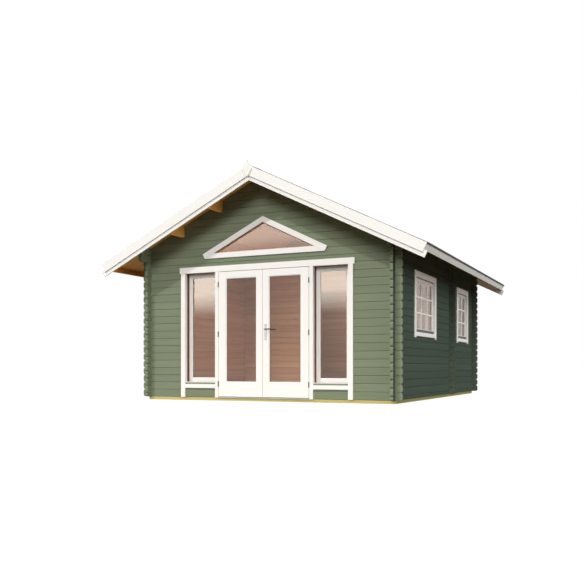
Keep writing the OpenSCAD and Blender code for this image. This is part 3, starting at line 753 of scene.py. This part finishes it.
trim("door_posts", "door_post_pair")
trim("door_head", "door_head_rail")
give(solids["door_threshold"], mottled_finish(
    "threshold_metal", ALUMINIUM, DRAWN_SCALE, detail=3.0, rough=(0.36, 0.55), gloss=0.5, metal=1.0))

# Sidelights
# Softwood jambs in the log openings, painted as far as the logs reach and bare behind them,
# the bare part darkened as painted shade, white sashes with slim beads and a dark gasket,
# and float glass that shows the room behind.
BEAD_W = 0.010
BEAD_DEEP = 0.008
GASKET_W = 0.003
GASKET_DEEP = 0.003
GLASS_SEAT = 0.010
GLASS_PLAY = 0.0003
GLASS_TINT = (0.95, 0.97, 0.96, 1)
GLASS_IOR = 1.52
# Bare wood darkened to deep red-brown: painted shade in the reveals and on the stops.
PAINTED_SHADE_WOOD = ((0.19, 0.055, 0.016, 1), (0.13, 0.034, 0.010, 1), (0.07, 0.02, 0.008, 1))
RUBBER = ((0.018, 0.018, 0.018, 1), (0.05, 0.048, 0.045, 1))
DUST_SCALE = (90, 90, 90)
INWARD = Vector((0, 1, 0))


def glass_finish(name, ior):
    """Clear glass that lets the light of the lamps through."""
    made, tree, shader = new_finish(name, rough=0.0, gloss=0.5)[:3]
    shader["Base Color"].default_value = GLASS_TINT
    shader["Transmission Weight"].default_value = 1.0
    shader["IOR"].default_value = ior
    clear = put(tree, "ShaderNodeBsdfTransparent")
    shadow = put(tree, "ShaderNodeLightPath").outputs["Is Shadow Ray"]
    pane = put(tree, "ShaderNodeMixShader", {
        0: shadow, 1: tree.nodes["Principled BSDF"].outputs[0], 2: clear.outputs[0]})
    tree.links.new(pane.outputs[0], tree.nodes["Material Output"].inputs["Surface"])
    return made


def in_wall(facing, across, depth, z):
    """A point in a front wall (facing y) or a side wall (facing x)."""
    return Vector((across, depth, z)) if facing == "y" else Vector((depth, across, z))


def strip_ring(name, facing, across, upright, depth, width, finishes):
    """Four strips around the inside of an opening."""
    (left, right), (low, high), (near, far) = across, upright, depth
    level = "x" if facing == "y" else "y"
    strips = [
        ((left, left + width), (low, high), "z"),
        ((right - width, right), (low, high), "z"),
        ((left + width, right - width), (low, low + width), level),
        ((left + width, right - width), (high - width, high), level),
    ]
    ease = min(width, far - near) / 4
    ring = []
    for (start, end), (bottom, top), axis in strips:
        strip = add_board(name, in_wall(facing, start, near, bottom), in_wall(facing, end, far, top), ease)
        give(strip, finishes[axis])
        ring.append(strip)
    return ring


def loose_boxes(solid):
    """The boxes of a solid's loose parts, lowest X then Y first."""
    boxes = []
    for part in loose_parts(solid, "measure"):
        boxes.append(box_of(part))
        bpy.data.objects.remove(part)
    return sorted(boxes, key=lambda box: tuple(box[0]))


def glazing(name, solid, facing, inset, width, deep, finishes):
    """A ring of strips on both faces of every pane of a solid."""
    depth = 1 if facing == "y" else 0
    strips = []
    for low, high in loose_boxes(solid):
        across = (low[1 - depth] + inset, high[1 - depth] - inset)
        upright = (low.z + inset, high.z - inset)
        near, far = low[depth] - GLASS_PLAY, high[depth] + GLASS_PLAY
        for face in ((near - deep, near), (far, far + deep)):
            strips += strip_ring(name, facing, across, upright, face, width, finishes)
    return join(name, strips)


def bead_panes(label, solid, facing, body):
    """White beads round the panes of a solid."""
    beads = glazing(label + "_beads", solid, facing, GLASS_SEAT, BEAD_W, BEAD_DEEP, white)
    hand_over(beads, body)


def seal_panes(label, solid, facing, body):
    """A dark gasket inside the beads of a solid's panes."""
    gaskets = glazing(label + "_gaskets", solid, facing, GLASS_SEAT + BEAD_W, GASKET_W, GASKET_DEEP,
                      {axis: rubber for axis in "xyz"})
    hand_over(gaskets, body)


glass = glass_finish("window_glass", GLASS_IOR)
rubber = mottled_finish("gasket_rubber", RUBBER, DUST_SCALE, detail=3.0, rough=(0.65, 0.85), gloss=0.3)
# The bare part of the jambs is darkened as painted shade.
jamb_paint = part_painted("jamb_boards", "z", PAINTED_SHADE_WOOD, WHITE, INWARD, -front_face[1].y)
give(solids["sidelight_jambs"], jamb_paint)
trim("sidelight_sashes", "sidelight_frames")
give(solids["sidelight_glass"], glass)
bead_panes("sidelight", "sidelight_glass", "y", "cabin")
seal_panes("sidelight", "sidelight_glass", "y", "cabin")

# Casings
# White boards that cover the joint between frame and logs: one long board over the front
# opening, uprights beside it and a sill board under each sidelight.
trim("front_casing", "front_casing_boards")

# Gable window
# A fixed triangular pane in a slim bare frame in the front gable, with three white casing
# boards mitred along the pitch of the roof.
GABLE_FRAME_EASE = 0.0012

gable_frame = eased_boards("gable_window_frame", "gable_frame", GABLE_FRAME_EASE, bare_spruce)
hand_over(gable_frame, "cabin")
trim("gable_window_casing", "gable_casing_boards")
give(solids["gable_window_glass"], glass)

# Side windows
# Two fixed windows in the right-hand wall: white frames and casing boards, stops dark above
# and below as painted shade, coated glass that mirrors little, a dark strip over each bottom
# rail. White bars on both faces of the glass part it into three by three and two by three panes.
COATED_IOR = 1.22
BAR_W = 0.024
BAR_DEEP = 0.016
BAR_EASE = 0.003
PANE_ROWS = 3
PANE_COLUMNS = (3, 2)
STOP_W = 0.014
STOP_PLAY = 0.0005
DRIP_TALL = 0.050
DRIP_DEEP = 0.011
# A dark strip over the bottom rail of each frame.
DARK_STRIP = ((0.022, 0.034, 0.045, 1), (0.05, 0.066, 0.08, 1))
FILM_SCALE = (60, 60, 60)

trim("side_window_frames", "side_frames")
trim("side_window_casing", "side_casing_boards")
give(solids["side_window_glass"], glass_finish("coated_glass", COATED_IOR))
bead_panes("side_window", "side_window_glass", "x", "cabin")

dark_strip = mottled_finish("dark_bottom_strip", DARK_STRIP, FILM_SCALE, detail=4.0, rough=(0.4, 0.6), gloss=0.4)
# Stops above and below are dark as painted shade.
painted_shade_stops = wood_finish("painted_shade_stops", "y", PAINTED_SHADE_WOOD, knots=0.6, rough=0.6, gloss=0.2, relief=0.3)
casing_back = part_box("side_window_casing")[0].x
stops = []
drips = []
for low, high in loose_boxes("side_window_frames"):
    depth = (high.x + STOP_PLAY, casing_back - STOP_PLAY)
    stops += strip_ring("stop", "x", (low.y, high.y), (low.z, high.z), depth, STOP_W,
                        {"y": painted_shade_stops, "z": white["z"]})
    drip = add_board("drip", (depth[0], low.y + STOP_W, low.z + STOP_W),
                     (depth[0] + DRIP_DEEP, high.y - STOP_W, low.z + DRIP_TALL), DRIP_DEEP / 3)
    give(drip, dark_strip)
    drips.append(drip)
hand_over(join("side_window_stops", stops), "cabin")
hand_over(join("side_window_drips", drips), "cabin")


def add_bar(low, high, axis):
    """A white glazing bar between two corners."""
    bar = add_board("bar", low, high, BAR_EASE)
    give(bar, white[axis])
    return bar


bars = []
bar_half = BAR_W / 2
frame_edge = GLASS_SEAT + BEAD_W
for (low, high), columns in zip(loose_boxes("side_window_glass"), PANE_COLUMNS):
    left, right = low.y + frame_edge, high.y - frame_edge
    bottom, top = low.z + frame_edge, high.z - frame_edge
    pane_w, pane_h = (right - left) / columns, (top - bottom) / PANE_ROWS
    inner, outer = low.x - GLASS_PLAY, high.x + GLASS_PLAY
    for near, far in ((inner - BAR_DEEP, inner), (outer, outer + BAR_DEEP)):
        for row in range(1, PANE_ROWS):
            z = bottom + pane_h * row
            bars.append(add_bar((near, left, z - bar_half), (far, right, z + bar_half), "y"))
        for column in range(1, columns):
            y = left + pane_w * column
            for row in range(PANE_ROWS):
                start = bottom + pane_h * row + (bar_half if row > 0 else 0)
                end = bottom + pane_h * (row + 1) - (bar_half if row < PANE_ROWS - 1 else 0)
                bars.append(add_bar((near, y - bar_half, start), (far, y + bar_half, end), "z"))
hand_over(join("side_window_bars", bars), "cabin")

# Door leaves
# Two white glazed leaves, each of two full-height stiles, a top rail and a bottom rail of
# two boards, with the glass in a groove and beads round it. They swing out on three hinges.
LEAF_EASE = 0.0022
RAIL_JOINT = 0.52
SPINDLE_HOLE = 0.007
SPINDLE_SIDES = 24
SPINDLE_LONG = 0.2
CUTTER_EASE = 0.0001
THROUGH_DOOR = (math.radians(90), 0, 0)


def cut_away(piece, cutter):
    """Takes one piece's shape out of another."""
    cut = piece.modifiers.new("cut", "BOOLEAN")
    cut.operation = "DIFFERENCE"
    cut.solver = "EXACT"
    cut.object = cutter
    apply_modifiers(piece)


plate_low, plate_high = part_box("handle_plates")
lever_low, lever_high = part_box("lever_handle")
plate_x = (plate_low.x + plate_high.x) / 2
lever_z = (lever_low.z + lever_high.z) / 2
seat = Vector((GLASS_SEAT, 0, GLASS_SEAT))
play = Vector((GLASS_PLAY, GLASS_PLAY, GLASS_PLAY))
for side in ("left", "right"):
    low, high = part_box("door_" + side)
    pane_low, pane_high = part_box("door_" + side + "_glass")
    open_low, open_high = pane_low + seat, pane_high - seat
    rail_joint = low.z + (open_low.z - low.z) * RAIL_JOINT
    plan = [
        ((low.x, low.z), (open_low.x, high.z), "z"),
        ((open_high.x, low.z), (high.x, high.z), "z"),
        ((open_low.x, open_high.z), (open_high.x, high.z), "x"),
        ((open_low.x, low.z), (open_high.x, rail_joint), "x"),
        ((open_low.x, rail_joint), (open_high.x, open_low.z), "x"),
    ]
    groove = add_board("groove", pane_low - play, pane_high + play, CUTTER_EASE)
    boards = []
    for (left, bottom), (right, top), axis in plan:
        board = add_board("leaf_board", (left, low.y, bottom), (right, high.y, top), LEAF_EASE)
        give(board, white[axis])
        cut_away(board, groove)
        boards.append(board)
    bpy.data.objects.remove(groove)
    if side == "right":
        bore = add_round("bore", SPINDLE_SIDES, SPINDLE_HOLE, SPINDLE_LONG,
                         (plate_x, low.y, lever_z), THROUGH_DOOR)
        cut_away(boards[0], bore)
        bpy.data.objects.remove(bore)
    leaf = join("leaf_" + side, boards)
    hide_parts("door_" + side)
    hand_over(leaf, side + "_leaf")
    give(solids["door_" + side + "_glass"], glass)
    bead_panes("leaf_" + side, "door_" + side + "_glass", "y", side + "_leaf")
    seal_panes("leaf_" + side, "door_" + side + "_glass", "y", side + "_leaf")

# Fittings
# Steel hinges, three a leaf, with bronzed knuckles and flags painted over with the door. On
# the right leaf a long plate on each face, with a lever on one spindle and a key cylinder.
CYLINDER_R = 0.0085
CYLINDER_OUT = 0.004
CYLINDER_DROP = 0.072
CYLINDER_EASE = 0.0006
CYLINDER_SIDES = 32
KEYWAY = Vector((0.0022, 0.003, 0.009))
KEYWAY_FLOOR = 0.0016
KNUCKLE_R = 0.0074
SCREW_R = 0.0036
SCREW_OUT = 0.0014
SCREW_IN = 0.014
SCREW_EASE = 0.0003
SCREW_SIDES = 20
NICK = Vector((SCREW_R * 2, SCREW_OUT, 0.001))
BRONZE = ((0.03, 0.026, 0.023, 1), (0.10, 0.09, 0.08, 1))
WORN_SCALE = (160, 160, 160)
WORN_DETAIL = 3.0
HINGE_ROUGH = (0.4, 0.55)

give(solids["handle_plates"], steel)
give(solids["lever_handle"], mottled_finish(
    "bronzed_steel", BRONZE, WORN_SCALE, WORN_DETAIL, rough=(0.34, 0.55), gloss=0.5, metal=1.0))
pin_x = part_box("door_right_hinges")[1].x - KNUCKLE_R
knuckled, tree, shader, place = new_finish("painted_hinge", HINGE_ROUGH[0], gloss=0.4)
worn = add_noise(tree, place, WORN_SCALE, WORN_DETAIL)
from_pin = calc(tree, "SUBTRACT", calc(tree, "ABSOLUTE", split(tree, place)["X"]), pin_x)
bare_steel = calc(tree, "LESS_THAN", calc(tree, "ABSOLUTE", from_pin), KNUCKLE_R)
paint_colour = blend(tree, worn, WHITE_DARK, WHITE_LIGHT)
tree.links.new(blend(tree, bare_steel, paint_colour, blend(tree, worn, *BRONZE)), shader["Base Color"])
tree.links.new(bare_steel, shader["Metallic"])
tree.links.new(spread(tree, worn, *NOISE_RANGE, *HINGE_ROUGH), shader["Roughness"])
for fitting in ("door_left_hinges", "door_right_hinges", "post_hinges"):
    give(solids[fitting], knuckled)


def cut_slot(piece, middle, size):
    """Cuts a slot out of a piece, from the slot's middle and size."""
    cutter = add_board("slot", Vector(middle) - size / 2, Vector(middle) + size / 2, CUTTER_EASE)
    cut_away(piece, cutter)
    bpy.data.objects.remove(cutter)


cylinder_z = lever_z - CYLINDER_DROP
rounds = []
for face, outward in ((plate_low.y, -1), (plate_high.y, 1)):
    barrel = add_round("barrel", CYLINDER_SIDES, CYLINDER_R, CYLINDER_OUT,
                       (plate_x, face + outward * CYLINDER_OUT / 2, cylinder_z), THROUGH_DOOR)
    keyway_y = face + outward * (KEYWAY_FLOOR + KEYWAY.y / 2)
    cut_slot(barrel, (plate_x, keyway_y, cylinder_z), KEYWAY)
    ease_edges(barrel, CYLINDER_EASE)
    rounds.append(barrel)
    for screw_z in (plate_low.z + SCREW_IN, plate_high.z - SCREW_IN):
        screw = add_round("screw", SCREW_SIDES, SCREW_R, SCREW_OUT,
                          (plate_x, face + outward * SCREW_OUT / 2, screw_z), THROUGH_DOOR)
        cut_slot(screw, (plate_x, face + outward * SCREW_OUT, screw_z), NICK)
        ease_edges(screw, SCREW_EASE)
        rounds.append(screw)
key_cylinder = join("key_cylinder", rounds)
give(key_cylinder, steel)
hand_over(key_cylinder, "right_leaf")

# Studio
# A white floor that throws light back mostly near the cabin, and a white surround with a weak
# fill. A warm key light stands high in front on the left, soft ones in front, on the right and
# behind, a lamp in each room, and three soft boxes in front that show only as reflections.
FAR_LIGHTS = {
    "key_light": {"travel": (0.376, 0.645, -0.665), "power": 1.45, "colour": (1.0, 0.97, 0.93), "soft": 1.5},
    "front_light": {"travel": (-0.10, 0.91, -0.35), "power": 1.40, "colour": (1.0, 0.99, 0.975), "soft": 22},
    "right_light": {"travel": (-0.90, 0.12, -0.42), "power": 1.55, "colour": (1.0, 0.985, 0.95), "soft": 50},
    "back_light": {"travel": (0.42, -0.70, -0.58), "power": 1.7, "colour": (1.0, 0.98, 0.95), "soft": 60},
}
LIGHT_AWAY = 12
ROOM_POWER = (20.0, 14.0)
ROOM_COLOUR = (0.84, 0.90, 1.0)
ROOM_LAMP_UP = 0.72
FILL_HIGH = (0.44, 0.427, 0.405, 1)
FILL_LOW = (0.10, 0.10, 0.10, 1)
FILL_RISE = (-0.1, 0.4)
PURE_WHITE = (1, 1, 1, 1)
SOFT_BOX_Y = -10.5
SOFT_BOX_COLOUR = (1.0, 0.95, 0.84, 1)
SOFT_BOX_FADE = 0.5
SOFT_BOXES = {
    "soft_box_left": ((-6.60, -5.62), (1.93, 3.15), 13.0),
    "soft_box_right": ((-2.62, -1.70), (1.93, 3.15), 12.0),
    "soft_box_high": ((-5.75, -2.50), (3.45, 4.50), 7.5),
}
FLOOR_SIZE = 160
FLOOR_Z = -0.001
FLOOR_GLOW = 1.1
FLOOR_GLOW_SHARE = 0.84
FLOOR_SEEN = (0.9, 0.9, 0.9, 1)
FLOOR_NEAR = (0.31, 0.28, 0.235, 1)
FLOOR_FAR = (0.05, 0.05, 0.045, 1)
FLOOR_REACH = 3.0


def seen_directly(tree):
    """One where the camera, a reflection or a pane of glass looks at the surround."""
    path = put(tree, "ShaderNodeLightPath").outputs
    mirrored = calc(tree, "MAXIMUM", path["Is Glossy Ray"], path["Is Transmission Ray"])
    return calc(tree, "MAXIMUM", path["Is Camera Ray"], mirrored)


def add_screen(name, size, place, turn):
    """A flat rectangle of the studio, and the tree of its own material."""
    deselect()
    bpy.ops.mesh.primitive_plane_add(size=1, location=place, rotation=turn)
    screen = bpy.context.object
    screen.name = name
    screen.scale = (*size, 1)
    settle()
    finish = bpy.data.materials.new(name)
    finish.use_nodes = True
    give(screen, finish)
    return screen, finish.node_tree


def mix_surface(tree, factor, first, second):
    """Makes a surface of two shaders."""
    mixed = put(tree, "ShaderNodeMixShader", {0: factor, 1: first.outputs[0], 2: second.outputs[0]})
    tree.links.new(mixed.outputs[0], tree.nodes["Material Output"].inputs["Surface"])


ground, tree = add_screen("studio_floor", (FLOOR_SIZE, FLOOR_SIZE), (0, 0, FLOOR_Z), (0, 0, 0))
spot = split(tree, put(tree, "ShaderNodeTexCoord").outputs["Object"])
past_sides = calc(tree, "SUBTRACT", calc(tree, "ABSOLUTE", spot["X"]), solid_box[1].x)
past_ends = calc(tree, "SUBTRACT", calc(tree, "ABSOLUTE", spot["Y"]), solid_box[1].y)
away = spread(tree, calc(tree, "MAXIMUM", past_sides, past_ends), 0.0, FLOOR_REACH)
bounce = blend(tree, away, FLOOR_NEAR, FLOOR_FAR)
looked_at = seen_directly(tree)
matt = put(tree, "ShaderNodeBsdfDiffuse", {"Color": blend(tree, looked_at, bounce, FLOOR_SEEN)})
glow = put(tree, "ShaderNodeEmission", {"Color": PURE_WHITE, "Strength": FLOOR_GLOW})
mix_surface(tree, calc(tree, "MULTIPLY", looked_at, FLOOR_GLOW_SHARE), matt, glow)

for name, kind in FAR_LIGHTS.items():
    travel = Vector(kind["travel"])
    bpy.ops.object.light_add(type="SUN", location=travel * -LIGHT_AWAY)
    light = bpy.context.object
    light.name = name
    light.rotation_euler = travel.to_track_quat("-Z", "Y").to_euler()
    light.data.energy = kind["power"]
    light.data.color = kind["colour"]
    light.data.angle = math.radians(kind["soft"])
    light.visible_transmission = False

for (start, end), power in zip(room_ends, ROOM_POWER):
    bpy.ops.object.light_add(type="AREA", location=(0, (start + end) / 2, front_face[1].z * ROOM_LAMP_UP))
    lamp = bpy.context.object
    lamp.data.size = (end - start) / 2
    lamp.data.energy = power
    lamp.data.color = ROOM_COLOUR
    for ray in ("camera", "transmission", "glossy"):
        setattr(lamp, "visible_" + ray, False)

for name, ((left, right), (low, high), power) in SOFT_BOXES.items():
    middle = ((left + right) / 2, SOFT_BOX_Y, (low + high) / 2)
    screen, tree = add_screen(name, (right - left, high - low), middle, (math.radians(90), 0, 0))
    height = split(tree, put(tree, "ShaderNodeTexCoord").outputs["Object"])["Z"]
    fade = spread(tree, height, low, low + (high - low) * SOFT_BOX_FADE)
    clear = put(tree, "ShaderNodeBsdfTransparent")
    glow = put(tree, "ShaderNodeEmission", {"Color": SOFT_BOX_COLOUR, "Strength": power})
    mix_surface(tree, fade, clear, glow)
    for ray in ("camera", "diffuse", "transmission", "shadow"):
        setattr(screen, "visible_" + ray, False)

surround = bpy.data.worlds.new("studio")
bpy.context.scene.world = surround
surround.use_nodes = True
tree = surround.node_tree
upward = split(tree, put(tree, "ShaderNodeTexCoord").outputs["Generated"])["Z"]
fill_colour = blend(tree, spread(tree, upward, *FILL_RISE), FILL_LOW, FILL_HIGH)
fill = put(tree, "ShaderNodeBackground", {"Color": fill_colour, "Strength": 1.0})
plain = put(tree, "ShaderNodeBackground", {"Color": PURE_WHITE, "Strength": 1.0})
mixed = put(tree, "ShaderNodeMixShader", {0: seen_directly(tree), 1: fill.outputs[0], 2: plain.outputs[0]})
tree.links.new(mixed.outputs[0], tree.nodes["World Output"].inputs["Surface"])
